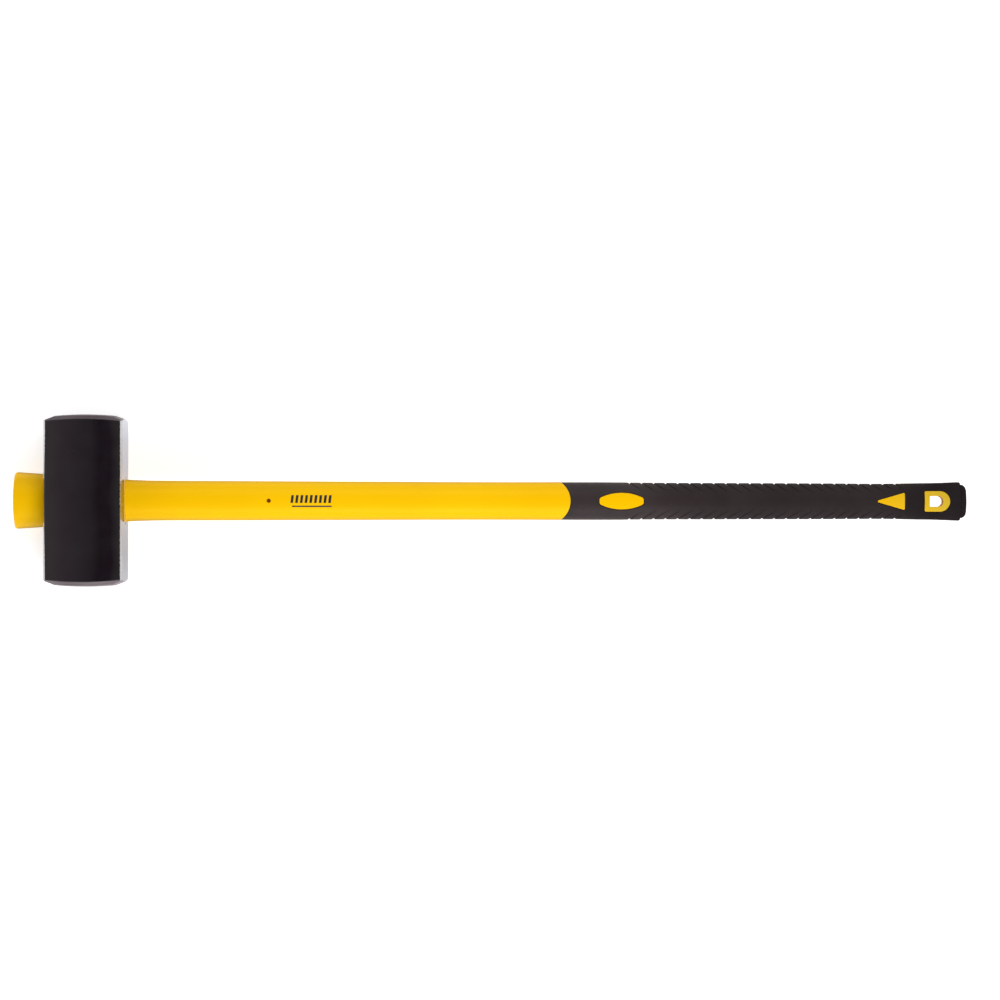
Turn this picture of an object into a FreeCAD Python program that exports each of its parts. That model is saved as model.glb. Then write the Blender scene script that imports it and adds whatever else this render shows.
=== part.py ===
import FreeCAD, Part
import math
import os

# Sledgehammer: square steel head on a glass-fibre handle with a moulded jacket and rubber grip.
# Millimetres. X runs from the head along the handle, Y is the striking direction and Z points
# up from the cheek that the hammer lies on. The middle of that cheek is the origin.

# Head
HEAD_SIDE = 74.4
HEAD_LENGTH = 162.7
LONG_CHAMFER_WIDTH = 2.0  # on the cheek
LONG_CHAMFER_DEPTH = 3.6  # on the eye side
FACE_CROWN_RADIUS = 320.0
FACE_BEVEL_WIDTH = 9.0
FACE_BEVEL_DROP = 3.4
CROWN_SWEEP = 30.0  # degrees, wide enough to cover the head
EYE_RIM_CHAMFER = 2.0

# Bonding layer between the plug of the handle and the eye of the head
RESIN_THICKNESS = 0.8
RESIN_BEAD_RECESS = 0.4

# Handle sections are ovals whose depth in Z is this share of their height in Y
DEPTH_RATIO = 0.78

# Plug: the straight taper that fills the eye and stands out of the far side of the head
PLUG_END_X = -68.7
PLUG_END_HEIGHT = 53.9
PLUG_TAPER = 0.1336
PLUG_CROWN_RADIUS = 160.0
PLUG_EDGE_RADIUS = 2.0
PLUG_TO_SHAFT_X = 45.0

# Shaft: position along the handle and height of the oval there
SHAFT_SECTIONS = [(60.0, 37.7), (80.0, 37.25), (120.0, 37.0), (250.0, 36.1), (390.0, 35.3),
                  (470.0, 35.6)]
PIN_MARK_X = 173.3
PIN_MARK_DIAMETER = 4.0

# Grip: outside of the rubber, from the front edge to the flare at the butt
GRIP_SECTIONS = [(430.0, 35.4), (470.0, 35.6), (500.0, 35.5), (519.0, 35.1), (611.0, 34.4),
                 (700.0, 33.9), (760.0, 33.5), (783.0, 34.3), (807.0, 35.1), (821.0, 36.4)]
FLARE_EDGE_RADIUS = 1.5
GRIP_FRONT_MIDDLE_X = 457.8
GRIP_FRONT_RADIUS = 22.3
BUTT_STEP_X = 825.6
BUTT_END_X = 831.2
BUTT_HEIGHT = 31.6
BUTT_EDGE_RADIUS = 5.2

# Tread: slanting grooves that run in from both edges of the grip
GROOVE_COUNT = 23
GROOVE_FIRST_X = 513.1
GROOVE_PITCH = 11.39
GROOVE_WIDTH = 2.3
GROOVE_DEPTH = 1.25
GROOVE_INNER_Y = 8.6
GROOVE_SLANT = 1.55
GROOVE_LAND_HEIGHT = 34.4
GROOVE_FLOOR_RATIO = 0.84

# Jacket under the rubber, and the windows that stand up through it
UNDER_GRIP_HEIGHT = 29.0
UNDER_GRIP_END_X = 823.0
OVAL_WINDOW_X = (485.0, 526.6)
OVAL_WINDOW_HEIGHT = 15.6
OVAL_WINDOW_END_HEIGHT = 5.6
TRIANGLE_X = (747.3, 772.8)
TRIANGLE_HEIGHT = 16.5
TRIANGLE_TIP_HEIGHT = 1.6
HANG_WINDOW_X = (791.5, 815.3)
HANG_WINDOW_HEIGHT = 19.3
HANG_HOLE_X = (796.2, 809.4)
HANG_HOLE_HEIGHT = 10.0

# Glass-fibre rod inside the jacket
ROD_HEIGHT = 24.0
ROD_X = (-63.0, 776.0)
ROD_CHAMFER = 1.0

AXIS_Z = HEAD_SIDE / 2
BEYOND = 60.0  # how far cutting tools reach past the part
MIDDLE_OVERLAP = 1.0  # how far the tool for one face starts past the head's middle


def point(x, y, z=0.0):
    """A point given from the handle's centre line."""
    return FreeCAD.Vector(x, y, AXIS_Z + z)


def flat(x, y):
    """A point of an outline that will be turned about the X axis."""
    return FreeCAD.Vector(x, y, 0)


def spin(edges, ratio=DEPTH_RATIO):
    """Turn an outline about the handle's axis, then squash it in Z to an oval section."""
    start = edges[0].Vertexes[0].Point
    end = edges[-1].Vertexes[-1].Point
    if start.y > 0:
        edges = [Part.makeLine(flat(start.x, 0), start)] + edges
    if end.y > 0:
        edges = edges + [Part.makeLine(end, flat(end.x, 0))]
    axis_line = Part.makeLine(flat(end.x, 0), flat(start.x, 0))
    profile = Part.Face(Part.Wire(edges + [axis_line]))
    turned = profile.revolve(flat(0, 0), FreeCAD.Vector(1, 0, 0), 360)
    squash = FreeCAD.Matrix()
    squash.scale(1, 1, ratio)
    oval = turned.transformGeometry(squash)
    oval.translate(FreeCAD.Vector(0, 0, AXIS_Z))
    return oval


def straight_oval(corners):
    """An oval body with straight sides through corners given as (x, height)."""
    points = [flat(x, height / 2) for x, height in corners]
    return spin([Part.makeLine(a, b) for a, b in zip(points, points[1:])])


def curve_through(sections, half_change=0.0, slope=None):
    """A smooth side line through sections given as (x, height)."""
    points = [flat(x, height / 2 + half_change) for x, height in sections]
    curve = Part.BSplineCurve()
    if slope is None:
        curve.interpolate(points)
    else:
        curve.interpolate(Points=points, InitialTangent=flat(1, slope), FinalTangent=flat(1, 0))
    return curve.toShape()


def plug_height(x):
    return PLUG_END_HEIGHT - PLUG_TAPER * (x - PLUG_END_X)


def tapered_oval(x_start, x_end, clearance=0.0):
    """A length of the plug's straight taper, higher by the clearance on each side."""
    return straight_oval([(x, plug_height(x) + 2 * clearance) for x in (x_start, x_end)])


def upright_prism(wire):
    """Carry an outline drawn at the bottom of the tool's reach right through the handle."""
    return Part.Face(wire).extrude(FreeCAD.Vector(0, 0, 2 * BEYOND))


def closed_outline(corners):
    """A wire through corner points (x, y) at the bottom of the tool's reach."""
    points = [point(x, y, -BEYOND) for x, y in corners]
    return Part.makePolygon(points + points[:1])


def d_prism(x_range, height):
    """Flat towards the head, half round towards the butt."""
    half = height / 2
    round_x = x_range[1] - half
    flat_low = point(x_range[0], -half, -BEYOND)
    flat_high = point(x_range[0], half, -BEYOND)
    arc_high = point(round_x, half, -BEYOND)
    arc_tip = point(x_range[1], 0, -BEYOND)
    arc_low = point(round_x, -half, -BEYOND)
    edges = [Part.makeLine(arc_low, flat_low),
             Part.makeLine(flat_low, flat_high),
             Part.makeLine(flat_high, arc_high),
             Part.Arc(arc_high, arc_tip, arc_low).toShape()]
    return upright_prism(Part.Wire(edges))


def blunt_oval_prism():
    """The front window: two long arcs joined by short straight ends."""
    start_x, end_x = OVAL_WINDOW_X
    middle_x = (start_x + end_x) / 2
    half_end = OVAL_WINDOW_END_HEIGHT / 2
    half = OVAL_WINDOW_HEIGHT / 2
    start_high = point(start_x, half_end, -BEYOND)
    start_low = point(start_x, -half_end, -BEYOND)
    end_high = point(end_x, half_end, -BEYOND)
    end_low = point(end_x, -half_end, -BEYOND)
    edges = [Part.Arc(start_high, point(middle_x, half, -BEYOND), end_high).toShape(),
             Part.makeLine(end_high, end_low),
             Part.Arc(end_low, point(middle_x, -half, -BEYOND), start_low).toShape(),
             Part.makeLine(start_low, start_high)]
    return upright_prism(Part.Wire(edges))


def face_crown():
    """Everything behind one crowned face, bevelled towards the two cheeks."""
    crown_centre_y = HEAD_LENGTH / 2 - FACE_CROWN_RADIUS
    crown_half = HEAD_SIDE / 2 - FACE_BEVEL_WIDTH
    crown_edge_y = crown_centre_y + math.sqrt(FACE_CROWN_RADIUS ** 2 - crown_half ** 2)
    reach = HEAD_SIDE
    reach_y = crown_edge_y - (reach - crown_half) * FACE_BEVEL_DROP / FACE_BEVEL_WIDTH
    tip = point(0, HEAD_LENGTH / 2)
    edge_high = point(0, crown_edge_y, crown_half)
    edge_low = point(0, crown_edge_y, -crown_half)
    outer_high = point(0, reach_y, reach)
    outer_low = point(0, reach_y, -reach)
    back_high = point(0, -MIDDLE_OVERLAP, reach)
    back_low = point(0, -MIDDLE_OVERLAP, -reach)
    edges = [Part.Arc(edge_low, tip, edge_high).toShape(),
             Part.makeLine(edge_high, outer_high),
             Part.makeLine(outer_high, back_high),
             Part.makeLine(back_high, back_low),
             Part.makeLine(back_low, outer_low),
             Part.makeLine(outer_low, edge_low)]
    profile = Part.Face(Part.Wire(edges))
    axis_point = point(0, crown_centre_y)
    upright = FreeCAD.Vector(0, 0, 1)
    profile.rotate(axis_point, upright, -CROWN_SWEEP / 2)
    return profile.revolve(axis_point, upright, CROWN_SWEEP)


def eye_rim(side):
    """The chamfer tool round the eye, on the handle side (1) or the far side (-1)."""
    outer_x = side * HEAD_SIDE / 2
    inner_x = outer_x - side * EYE_RIM_CHAMFER
    past_x = outer_x + side * EYE_RIM_CHAMFER
    inner = plug_height(inner_x) + 2 * RESIN_THICKNESS
    past = inner + 4 * EYE_RIM_CHAMFER
    return straight_oval(sorted([(inner_x, inner), (past_x, past)]))


def make_half_bar():
    """The square bar with its long edges chamfered, from the head's middle past one face."""
    half_side = HEAD_SIDE / 2
    cheek_edge = half_side - LONG_CHAMFER_WIDTH
    side_edge = half_side - LONG_CHAMFER_DEPTH
    upper = [(-half_side, side_edge), (-cheek_edge, half_side),
             (cheek_edge, half_side), (half_side, side_edge)]
    lower = [(x, -z) for x, z in reversed(upper)]
    points = [point(x, 0, z) for x, z in upper + lower]
    section = Part.Face(Part.makePolygon(points + points[:1]))
    return section.extrude(FreeCAD.Vector(0, HEAD_LENGTH, 0))


def make_head():
    bar = make_half_bar()
    crown = face_crown()
    turned_crown = crown.copy()
    turned_crown.rotate(point(0, 0), FreeCAD.Vector(0, 1, 0), 90)
    half_head = bar.common(crown).common(turned_crown)
    other_half = half_head.mirror(FreeCAD.Vector(0, 0, 0), FreeCAD.Vector(0, 1, 0))
    head = half_head.fuse(other_half).removeSplitter()
    eye = tapered_oval(-HEAD_SIDE, HEAD_SIDE, RESIN_THICKNESS)
    return head.cut(eye).cut(eye_rim(1)).cut(eye_rim(-1))


def make_resin():
    rim_x = HEAD_SIDE / 2 - EYE_RIM_CHAMFER
    layer = tapered_oval(-rim_x, rim_x, RESIN_THICKNESS)
    bead_end_x = HEAD_SIDE / 2 - RESIN_BEAD_RECESS
    bead = eye_rim(1).common(straight_oval([(rim_x, HEAD_SIDE), (bead_end_x, HEAD_SIDE)]))
    return layer.fuse(bead).removeSplitter().cut(tapered_oval(-HEAD_SIDE, HEAD_SIDE))


def front_zone():
    """The room on the head's side of the grip's arched front edge."""
    centre_x = GRIP_FRONT_MIDDLE_X - GRIP_FRONT_RADIUS
    start_x = PLUG_END_X - BEYOND
    box = Part.makeBox(centre_x - start_x, 2 * BEYOND, 2 * BEYOND,
                       point(start_x, -BEYOND, -BEYOND))
    arch = Part.makeCylinder(GRIP_FRONT_RADIUS, 2 * BEYOND, point(centre_x, 0, -BEYOND))
    return box.fuse(arch).removeSplitter()


def make_plug_and_shaft():
    """The plug's crowned end, its straight taper and the slightly waisted shaft."""
    shoulder = plug_height(PLUG_END_X) / 2 - PLUG_EDGE_RADIUS
    crown_drop = PLUG_CROWN_RADIUS - math.sqrt(PLUG_CROWN_RADIUS ** 2 - shoulder ** 2)
    half_drop = PLUG_CROWN_RADIUS - math.sqrt(PLUG_CROWN_RADIUS ** 2 - (shoulder / 2) ** 2)
    shoulder_x = PLUG_END_X + crown_drop
    side_x = shoulder_x + PLUG_EDGE_RADIUS
    bend = PLUG_EDGE_RADIUS * math.sqrt(0.5)
    tip = flat(PLUG_END_X, 0)
    crown_middle = flat(PLUG_END_X + half_drop, shoulder / 2)
    crown_edge = flat(shoulder_x, shoulder)
    bend_middle = flat(side_x - bend, shoulder + bend)
    side_start = flat(side_x, plug_height(side_x) / 2)
    side_end = flat(PLUG_TO_SHAFT_X, plug_height(PLUG_TO_SHAFT_X) / 2)
    sections = [(PLUG_TO_SHAFT_X, plug_height(PLUG_TO_SHAFT_X))] + SHAFT_SECTIONS
    return spin([Part.Arc(tip, crown_middle, crown_edge).toShape(),
                 Part.Arc(crown_edge, bend_middle, side_start).toShape(),
                 Part.makeLine(side_start, side_end),
                 curve_through(sections, slope=-PLUG_TAPER / 2)])


def make_windows(outside):
    """The three raised windows, cut off level with the outside of the rubber."""
    tip_x, base_x = TRIANGLE_X
    half_tip = TRIANGLE_TIP_HEIGHT / 2
    half_base = TRIANGLE_HEIGHT / 2
    triangle = closed_outline([(tip_x, half_tip), (tip_x, -half_tip),
                               (base_x, -half_base), (base_x, half_base)])
    prisms = [blunt_oval_prism(),
              upright_prism(triangle),
              d_prism(HANG_WINDOW_X, HANG_WINDOW_HEIGHT)]
    return [prism.common(outside) for prism in prisms]


def make_grip_outside():
    """The outside of the rubber: a long waisted oval, a flare and a rounded boss at the butt."""
    side = curve_through(GRIP_SECTIONS)
    flare_x, flare_height = GRIP_SECTIONS[-1]
    flare_end_x = BUTT_STEP_X - FLARE_EDGE_RADIUS
    flare_end = flare_height / 2 - FLARE_EDGE_RADIUS
    flare_bend = FLARE_EDGE_RADIUS * math.sqrt(0.5)
    boss_half = BUTT_HEIGHT / 2
    boss_bend = BUTT_EDGE_RADIUS * math.sqrt(0.5)
    boss_side_end_x = BUTT_END_X - BUTT_EDGE_RADIUS
    boss_end = boss_half - BUTT_EDGE_RADIUS
    flare_top = flat(flare_end_x, flare_height / 2)
    flare_middle = flat(flare_end_x + flare_bend, flare_end + flare_bend)
    step_top = flat(BUTT_STEP_X, flare_end)
    step_foot = flat(BUTT_STEP_X, boss_half)
    boss_top = flat(boss_side_end_x, boss_half)
    boss_middle = flat(boss_side_end_x + boss_bend, boss_end + boss_bend)
    boss_edge = flat(BUTT_END_X, boss_end)
    return spin([side,
                 Part.makeLine(flat(flare_x, flare_height / 2), flare_top),
                 Part.Arc(flare_top, flare_middle, step_top).toShape(),
                 Part.makeLine(step_top, step_foot),
                 Part.makeLine(step_foot, boss_top),
                 Part.Arc(boss_top, boss_middle, boss_edge).toShape()])


def make_grooves():
    """Slanting slots on both edges, cut down to a slimmer oval so that they fade out inwards."""
    outer_y = UNDER_GRIP_HEIGHT
    land_y = GROOVE_LAND_HEIGHT / 2
    half_width = GROOVE_WIDTH / 2
    slots = []
    for index in range(GROOVE_COUNT):
        edge_x = GROOVE_FIRST_X + index * GROOVE_PITCH
        outer_x = edge_x - (outer_y - land_y) * GROOVE_SLANT
        inner_x = edge_x + (land_y - GROOVE_INNER_Y) * GROOVE_SLANT
        for side in (1, -1):
            outline = closed_outline([(outer_x - half_width, side * outer_y),
                                      (outer_x + half_width, side * outer_y),
                                      (inner_x + half_width, side * GROOVE_INNER_Y),
                                      (inner_x - half_width, side * GROOVE_INNER_Y)])
            slots.append(upright_prism(outline))
    floor = spin([curve_through(GRIP_SECTIONS, -GROOVE_DEPTH)], GROOVE_FLOOR_RATIO)
    return Part.makeCompound(slots).cut(floor)


def make_rod():
    tip_height = ROD_HEIGHT - 2 * ROD_CHAMFER
    start_x, end_x = ROD_X
    return straight_oval([(start_x, tip_height), (start_x + ROD_CHAMFER, ROD_HEIGHT),
                          (end_x - ROD_CHAMFER, ROD_HEIGHT), (end_x, tip_height)])


def make_jacket_blank(grip_outside):
    """The jacket before the rod's room, the hang hole and the pin marks are taken out."""
    shaft = make_plug_and_shaft().common(front_zone())
    neck_start_x = GRIP_FRONT_MIDDLE_X - GRIP_FRONT_RADIUS
    neck = straight_oval([(neck_start_x, UNDER_GRIP_HEIGHT), (UNDER_GRIP_END_X, UNDER_GRIP_HEIGHT)])
    return shaft.fuse([neck] + make_windows(grip_outside)).removeSplitter()


def main():
    os.makedirs("parts", exist_ok=True)
    grip_outside = make_grip_outside()
    jacket_blank = make_jacket_blank(grip_outside)
    grip = grip_outside.cut(front_zone()).cut(jacket_blank).cut(make_grooves())
    rod = make_rod()
    hang_hole = d_prism(HANG_HOLE_X, HANG_HOLE_HEIGHT)
    pin_mark = Part.makeCylinder(PIN_MARK_DIAMETER / 2, 2 * BEYOND, point(PIN_MARK_X, 0, -BEYOND))
    jacket = jacket_blank.cut(rod).cut(hang_hole).cut(pin_mark)
    pieces = {"head": make_head(), "core_rod": rod, "handle_jacket": jacket,
              "grip": grip, "eye_resin": make_resin()}
    for name, shape in pieces.items():
        print(name, "solids", len(shape.Solids), "valid", shape.isValid(),
              "volume", round(shape.Volume), shape.BoundBox)
        shape.exportStep("parts/" + name + ".step")


main()
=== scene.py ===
import math

import bmesh
import bpy
import numpy as np
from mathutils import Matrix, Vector


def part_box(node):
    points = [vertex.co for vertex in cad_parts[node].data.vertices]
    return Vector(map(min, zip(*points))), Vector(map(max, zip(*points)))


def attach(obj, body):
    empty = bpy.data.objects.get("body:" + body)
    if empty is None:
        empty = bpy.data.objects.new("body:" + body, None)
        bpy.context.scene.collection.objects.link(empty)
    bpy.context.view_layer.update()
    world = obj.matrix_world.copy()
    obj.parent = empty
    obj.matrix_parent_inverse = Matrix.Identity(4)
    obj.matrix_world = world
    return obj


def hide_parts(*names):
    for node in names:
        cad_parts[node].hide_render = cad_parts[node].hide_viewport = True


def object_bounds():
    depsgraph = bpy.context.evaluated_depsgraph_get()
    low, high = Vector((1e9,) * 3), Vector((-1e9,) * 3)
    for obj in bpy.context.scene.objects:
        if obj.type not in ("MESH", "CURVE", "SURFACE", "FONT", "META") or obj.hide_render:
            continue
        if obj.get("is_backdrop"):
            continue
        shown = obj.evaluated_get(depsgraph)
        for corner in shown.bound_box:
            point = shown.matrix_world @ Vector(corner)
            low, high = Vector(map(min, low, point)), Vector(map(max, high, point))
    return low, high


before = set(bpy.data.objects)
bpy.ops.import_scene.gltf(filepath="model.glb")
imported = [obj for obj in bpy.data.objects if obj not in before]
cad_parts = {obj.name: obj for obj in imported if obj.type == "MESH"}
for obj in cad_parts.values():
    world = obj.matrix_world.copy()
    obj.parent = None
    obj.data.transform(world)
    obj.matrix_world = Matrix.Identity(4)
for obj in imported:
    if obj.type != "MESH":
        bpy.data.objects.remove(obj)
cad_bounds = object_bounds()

MM = 0.001

# ---------------------------------------------------------------- places taken from the frame
head_low, head_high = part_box("head")
jacket_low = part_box("handle_jacket")[0]
grip_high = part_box("grip")[1]
resin_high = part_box("eye_resin")[1]
AXIS_Z = (head_low[2] + head_high[2]) / 2 / MM
HALF_SIDE = (head_high[2] - head_low[2]) / 2 / MM
PLUG_END_X = jacket_low[0] / MM
BUTT_END_X = grip_high[0] / MM
RESIN_END_X = resin_high[0] / MM

# ---------------------------------------------------------------- sizes in millimetres
HALF_LENGTH = 81.35
CROWN_RADIUS = 320.0
BEVEL_WIDTH = 9.0
BEVEL_DROP = 3.4
LONG_CHAMFER = 2.0  # on the cheek
LONG_CHAMFER_DEPTH = 3.6  # on the eye side
EDGE_SOFTNESS = 0.75
RIM_CHAMFER = 2.0
RESIN = 0.8
DEPTH_RATIO = 0.78
PLUG_END_HEIGHT = 53.9
PLUG_TAPER = 0.1336
PLUG_CROWN_RADIUS = 160.0
PLUG_EDGE_RADIUS = 2.0
TAPER_END_X = 45.0
SHAFT = [(45.0, 38.71), (60.0, 37.7), (80.0, 37.25), (120.0, 37.0), (250.0, 36.1),
         (390.0, 35.3), (470.0, 35.6)]
GRIP = [(430.0, 35.4), (470.0, 35.6), (500.0, 35.5), (519.0, 35.1), (611.0, 34.4),
        (700.0, 33.9), (760.0, 33.5), (783.0, 34.3), (807.0, 35.1), (821.0, 36.4)]
FRONT_MIDDLE_X = 457.8  # the arched joint between plastic and rubber
FRONT_RADIUS = 22.3
FRONT_SECTION_X = 450.0
BUTT_STEP_X = 825.6
BUTT_HALF = 15.8
BUTT_EDGE_RADIUS = 5.2
FLARE_EDGE_RADIUS = 1.5
UNDER_GRIP_HALF = 14.5
UNDER_GRIP_END_X = 790.0
GROOVE_FIRST_X = 513.1
GROOVE_PITCH = 11.39
GROOVE_COUNT = 23
GROOVE_SLANT = 1.55
OVAL_X = (485.0, 526.6)
OVAL_HEIGHT = 15.6
OVAL_END_HEIGHT = 5.6
TRIANGLE_X = (747.3, 772.8)
TRIANGLE_HEIGHT = 16.5
TRIANGLE_TIP = 1.6
HANG_X = (791.5, 815.3)
HANG_HEIGHT = 19.3
HANG_CORNER = 1.3
HOLE_X = (796.2, 809.4)
HOLE_HEIGHT = 10.0
HOLE_CORNER = 1.0
WINDOW_LIFT = 0.16
PIN_X = 173.3
PIN_RADIUS = 2.0

# material slots of the head
LACQUER_SLOT = 1
END_SLOT = 2


# ---------------------------------------------------------------- camera first
def add_camera():
    """Straight above the middle of the tool, as far away as gives the picture its perspective."""
    distance = 4.3
    width_seen = 0.945
    middle_x, middle_y = 0.3912, 0.0009
    roll = 0.06
    data = bpy.data.cameras.new("camera")
    data.sensor_width = 36.0
    data.lens = data.sensor_width * distance / width_seen
    data.clip_end = 50.0
    camera = bpy.data.objects.new("camera", data)
    camera.location = (middle_x, middle_y, AXIS_Z * MM + distance)
    camera.rotation_euler = (0, 0, math.radians(roll))
    bpy.context.scene.collection.objects.link(camera)
    bpy.context.scene.camera = camera


add_camera()


# ---------------------------------------------------------------- small mesh helpers
def smoothstep(low, high, value):
    """0 below low, 1 above high, and a soft step between."""
    t = np.clip((value - low) / (high - low), 0, 1)
    return t * t * (3 - 2 * t)


def height_through(sections, x):
    """Smooth height at x, through sections given as (x, height)."""
    xs = np.array([s[0] for s in sections])
    hs = np.array([s[1] for s in sections])
    slopes = np.gradient(hs, xs)
    x = np.clip(np.asarray(x, float), xs[0], xs[-1])
    i = np.clip(np.searchsorted(xs, x, side="right") - 1, 0, len(xs) - 2)
    span = xs[i + 1] - xs[i]
    t = (x - xs[i]) / span
    t2, t3 = t * t, t * t * t
    return (hs[i] * (2 * t3 - 3 * t2 + 1) + slopes[i] * span * (t3 - 2 * t2 + t)
            + hs[i + 1] * (3 * t2 - 2 * t3) + slopes[i + 1] * span * (t3 - t2))


def plug_half(x):
    """Half the height of the plug, which narrows towards the handle."""
    return (PLUG_END_HEIGHT - PLUG_TAPER * (x - PLUG_END_X)) / 2


def front_edge(y):
    """X of the arched joint between yellow plastic and rubber."""
    return FRONT_MIDDLE_X - FRONT_RADIUS + np.sqrt(FRONT_RADIUS ** 2 - y * y)


def surface_z(x, y, sections):
    """Height above the handle's axis of the oval's upper face."""
    half = height_through(sections, x) / 2
    return half * DEPTH_RATIO * np.sqrt(np.clip(1 - (y / half) ** 2, 0, 1))


def loop_quads(rows, count, close_rows=False):
    """Quads between rows of points, each row a closed loop of count points."""
    row = np.arange(rows if close_rows else rows - 1)[:, None]
    col = np.arange(count)[None, :]
    following = (col + 1) % count
    below = row * count
    above = ((row + 1) % rows) * count
    quads = np.stack([below + col, below + following, above + following, above + col], axis=-1)
    return quads.reshape(-1, 4)


def add_mesh(name, points, faces, *materials):
    """A smooth-shaded object from points in millimetres, the axis of the handle at z = 0."""
    points = np.asarray(points, float).reshape(-1, 3) * MM
    points[:, 2] += AXIS_Z * MM
    mesh = bpy.data.meshes.new(name)
    mesh.from_pydata(points.tolist(), [], [list(map(int, f)) for f in faces])
    mesh.validate()
    for material in materials:
        mesh.materials.append(material)
    mesh.polygons.foreach_set("use_smooth", [True] * len(mesh.polygons))
    obj = bpy.data.objects.new(name, mesh)
    bpy.context.scene.collection.objects.link(obj)
    return obj


def recalculate_outside(obj, drop_loose=False):
    """Turn all faces outwards and, if asked, drop points that no face uses."""
    bm = bmesh.new()
    bm.from_mesh(obj.data)
    if drop_loose:
        loose = [v for v in bm.verts if not v.link_faces]
        bmesh.ops.delete(bm, geom=loose, context="VERTS")
    bmesh.ops.recalc_face_normals(bm, faces=bm.faces)
    bm.to_mesh(obj.data)
    bm.free()


def soften_edges(obj, width, angle):
    bevel = obj.modifiers.new("edge", "BEVEL")
    bevel.width = width * MM
    bevel.segments = 3
    bevel.limit_method = "ANGLE"
    bevel.angle_limit = math.radians(angle)
    bevel.harden_normals = True


# ---------------------------------------------------------------- material helpers
class Nodes:
    """Short calls for building one material's nodes."""

    def __init__(self, name):
        self.material = bpy.data.materials.new(name)
        self.material.use_nodes = True
        self.tree = self.material.node_tree
        self.shader = self.tree.nodes["Principled BSDF"]
        self.coordinates = self.add("ShaderNodeTexCoord").outputs["Object"]

    def add(self, kind, **values):
        node = self.tree.nodes.new(kind)
        for key, value in values.items():
            setattr(node, key, value)
        return node

    def link(self, output, socket):
        self.tree.links.new(output, socket)

    def put(self, socket, value):
        if isinstance(value, bpy.types.NodeSocket):
            self.link(value, socket)
        else:
            socket.default_value = value

    def axis(self, letter):
        """One coordinate of the place on the object, in metres."""
        node = self.add("ShaderNodeSeparateXYZ")
        self.link(self.coordinates, node.inputs[0])
        return node.outputs[letter]

    def stretched(self, x, y, z):
        mapping = self.add("ShaderNodeMapping")
        mapping.inputs["Scale"].default_value = (x, y, z)
        self.link(self.coordinates, mapping.inputs["Vector"])
        return mapping.outputs["Vector"]

    def noise(self, scale, detail=3.0, roughness=0.55, vector=None):
        node = self.add("ShaderNodeTexNoise")
        node.inputs["Scale"].default_value = scale
        node.inputs["Detail"].default_value = detail
        node.inputs["Roughness"].default_value = roughness
        self.link(vector or self.coordinates, node.inputs["Vector"])
        return node.outputs["Fac"]

    def remap(self, value, from_low, from_high, to_low, to_high):
        node = self.add("ShaderNodeMapRange")
        node.inputs["From Min"].default_value = from_low
        node.inputs["From Max"].default_value = from_high
        node.inputs["To Min"].default_value = to_low
        node.inputs["To Max"].default_value = to_high
        self.link(value, node.inputs["Value"])
        return node.outputs["Result"]

    def math(self, operation, a, b=0.0):
        node = self.add("ShaderNodeMath", operation=operation)
        self.put(node.inputs[0], a)
        self.put(node.inputs[1], b)
        return node.outputs[0]

    def scaled(self, vector, factor):
        node = self.add("ShaderNodeVectorMath", operation="SCALE")
        self.put(node.inputs[0], vector)
        self.put(node.inputs["Scale"], factor)
        return node.outputs["Vector"]

    def mix(self, factor, a, b):
        """Blend two colours."""
        node = self.add("ShaderNodeMix", data_type="RGBA")
        self.put(node.inputs["Factor"], factor)
        for socket, value in ((node.inputs[6], a), (node.inputs[7], b)):
            self.put(socket, value if isinstance(value, bpy.types.NodeSocket) else (*value, 1.0))
        return node.outputs[2]

    def mix_value(self, factor, a, b):
        """Blend two numbers."""
        node = self.add("ShaderNodeMix", data_type="FLOAT")
        self.link(factor, node.inputs["Factor"])
        self.link(a, node.inputs[2])
        self.link(b, node.inputs[3])
        return node.outputs[0]

    def bump(self, height, strength, distance, before=None):
        node = self.add("ShaderNodeBump")
        self.put(node.inputs["Strength"], strength)
        node.inputs["Distance"].default_value = distance
        self.link(height, node.inputs["Height"])
        if before is not None:
            self.link(before, node.inputs["Normal"])
        return node.outputs["Normal"]

    def set(self, **values):
        for key, value in values.items():
            self.put(self.shader.inputs[key.replace("_", " ")], value)


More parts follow.
